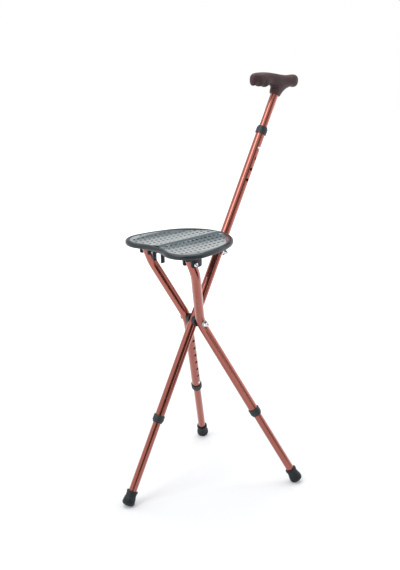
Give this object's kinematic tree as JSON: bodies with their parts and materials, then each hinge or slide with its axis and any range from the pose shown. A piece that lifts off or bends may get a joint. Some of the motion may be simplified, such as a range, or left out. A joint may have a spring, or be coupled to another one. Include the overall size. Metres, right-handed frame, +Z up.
{
  "type": "folding walking stick seat",
  "caption": "Walking stick that opens into a three-legged stool: a perforated two-lobed seat hinged on bent tube legs, with a sliding handle and sliding feet that lock with snap buttons.",
  "frame": {"origin": "on the ground, below the centre of the bounding box", "axes": "+X along the hub bolt to its nut, -Y to the front of the seat, +Z up"},
  "size_m": [0.3228, 0.4671, 0.8325],
  "materials": {
    "main_tube": "metallic copper lacquer",
    "upper_collar": "satin black",
    "main_collar": "satin black",
    "hub_bolt": "bright",
    "hub_nut": "bright",
    "hub_washers": "zinc plated",
    "hub_spacer_right": "satin black",
    "hub_spacer_left": "satin black",
    "seat_pin": "zinc plated",
    "seat_pin_nuts": "bright",
    "handle_tube": "metallic copper lacquer",
    "handle_bush": "satin black",
    "handle_grip": "dark purple-brown",
    "handle_button": "bright",
    "handle_button_spring": "plain",
    "seat_panel": "dark grey, semi-gloss",
    "seat_frame": "dark grey",
    "seat_hinge_bolts": "bright",
    "seat_hinge_nuts": "zinc plated",
    "main_foot_tube": "metallic copper lacquer",
    "main_foot_bush": "satin black",
    "main_foot_tip": "matt",
    "main_foot_washer": "zinc plated",
    "main_foot_button": "bright",
    "main_foot_button_spring": "plain",
    "right_foot_tube": "metallic copper lacquer",
    "right_foot_bush": "satin black",
    "right_foot_tip": "matt",
    "right_foot_washer": "zinc plated",
    "right_foot_button": "bright",
    "right_foot_button_spring": "plain",
    "right_leg_tube": "metallic copper lacquer",
    "right_leg_collar": "satin black",
    "right_leg_plug": "satin black",
    "left_foot_tube": "metallic copper lacquer",
    "left_foot_bush": "satin black",
    "left_foot_tip": "matt",
    "left_foot_washer": "zinc plated",
    "left_foot_button": "bright",
    "left_foot_button_spring": "plain",
    "left_leg_tube": "metallic copper lacquer",
    "left_leg_collar": "satin black",
    "left_leg_plug": "satin black"
  },
  "bodies": {
    "stick": {"main_tube": "main_tube", "upper_collar": "upper_collar", "main_collar": "main_collar", "hub_bolt": "hub_bolt", "hub_nut": "hub_nut", "hub_washers": "hub_washers", "hub_spacer_right": "hub_spacer_right", "hub_spacer_left": "hub_spacer_left", "seat_pin": "seat_pin", "seat_pin_nuts": "seat_pin_nuts"},
    "handle": {"handle_tube": "handle_tube", "handle_bush": "handle_bush", "handle_grip": "handle_grip", "handle_button_spring": "handle_button_spring"},
    "handle_snap_button": {"handle_button": "handle_button"},
    "seat": {"seat_panel": "seat_panel", "seat_frame": "seat_frame", "seat_hinge_bolts": "seat_hinge_bolts", "seat_hinge_nuts": "seat_hinge_nuts"},
    "main_foot": {"main_foot_tube": "main_foot_tube", "main_foot_bush": "main_foot_bush", "main_foot_tip": "main_foot_tip", "main_foot_washer": "main_foot_washer", "main_foot_button_spring": "main_foot_button_spring"},
    "main_foot_snap_button": {"main_foot_button": "main_foot_button"},
    "right_leg": {"right_leg_tube": "right_leg_tube", "right_leg_collar": "right_leg_collar", "right_leg_plug": "right_leg_plug"},
    "right_foot": {"right_foot_tube": "right_foot_tube", "right_foot_bush": "right_foot_bush", "right_foot_tip": "right_foot_tip", "right_foot_washer": "right_foot_washer", "right_foot_button_spring": "right_foot_button_spring"},
    "right_foot_snap_button": {"right_foot_button": "right_foot_button"},
    "left_leg": {"left_leg_tube": "left_leg_tube", "left_leg_collar": "left_leg_collar", "left_leg_plug": "left_leg_plug"},
    "left_foot": {"left_foot_tube": "left_foot_tube", "left_foot_bush": "left_foot_bush", "left_foot_tip": "left_foot_tip", "left_foot_washer": "left_foot_washer", "left_foot_button_spring": "left_foot_button_spring"},
    "left_foot_snap_button": {"left_foot_button": "left_foot_button"}
  },
  "joints": [
    {"name": "right_leg_fold", "type": "hinge", "parent": "stick", "child": "right_leg", "pos_m": [0, -0.04905, 0.354], "axis": [-1, 0, 0], "range_deg": [0, 50.5]},
    {"name": "left_leg_fold", "type": "hinge", "parent": "stick", "child": "left_leg", "pos_m": [0, -0.04905, 0.354], "axis": [-1, 0, 0], "range_deg": [0, 50.5]},
    {"name": "seat_fold", "type": "hinge", "parent": "right_leg", "child": "seat", "pos_m": [0, -0.11189, 0.49514], "axis": [1, 0, 0], "range_deg": [0, 112]},
    {"name": "handle_slide", "type": "slide", "parent": "stick", "child": "handle", "axis": [0, -0.4462, -0.8949], "range_m": [0, 0.069], "deforming": ["handle_button", "handle_button_spring"]},
    {"name": "handle_button_press", "type": "slide", "parent": "handle", "child": "handle_snap_button", "axis": [-1, 0, 0], "range_m": [0, 0.0034], "stiffness_N_per_m": 1200, "springref_m": -0.0015, "deforming": ["handle_button_spring"]},
    {"name": "main_foot_slide", "type": "slide", "parent": "stick", "child": "main_foot", "axis": [0, 0.4462, 0.8949], "range_m": [0, 0.138], "deforming": ["main_foot_button", "main_foot_button_spring"]},
    {"name": "main_foot_button_press", "type": "slide", "parent": "main_foot", "child": "main_foot_snap_button", "axis": [1, 0, 0], "range_m": [0, 0.0034], "stiffness_N_per_m": 1200, "springref_m": -0.0015, "deforming": ["main_foot_button_spring"]},
    {"name": "right_foot_slide", "type": "slide", "parent": "right_leg", "child": "right_foot", "axis": [-0.3239, -0.3848, 0.8643], "range_m": [0, 0.138], "deforming": ["right_foot_button", "right_foot_button_spring"]},
    {"name": "right_foot_button_press", "type": "slide", "parent": "right_foot", "child": "right_foot_snap_button", "axis": [0.9461, -0.1317, 0.2959], "range_m": [0, 0.0034], "stiffness_N_per_m": 1200, "springref_m": -0.0015, "deforming": ["right_foot_button_spring"]},
    {"name": "left_foot_slide", "type": "slide", "parent": "left_leg", "child": "left_foot", "axis": [0.3239, -0.3848, 0.8643], "range_m": [0, 0.138], "deforming": ["left_foot_button", "left_foot_button_spring"]},
    {"name": "left_foot_button_press", "type": "slide", "parent": "left_foot", "child": "left_foot_snap_button", "axis": [-0.9461, -0.1317, 0.2959], "range_m": [0, 0.0034], "stiffness_N_per_m": 1200, "springref_m": -0.0015, "deforming": ["left_foot_button_spring"]}
  ],
  "couplings": [
    {"joint": "left_leg_fold", "follows": "right_leg_fold", "ratio": 1},
    {"joint": "seat_fold", "follows": "right_leg_fold", "ratio": 2.2178}
  ]
}
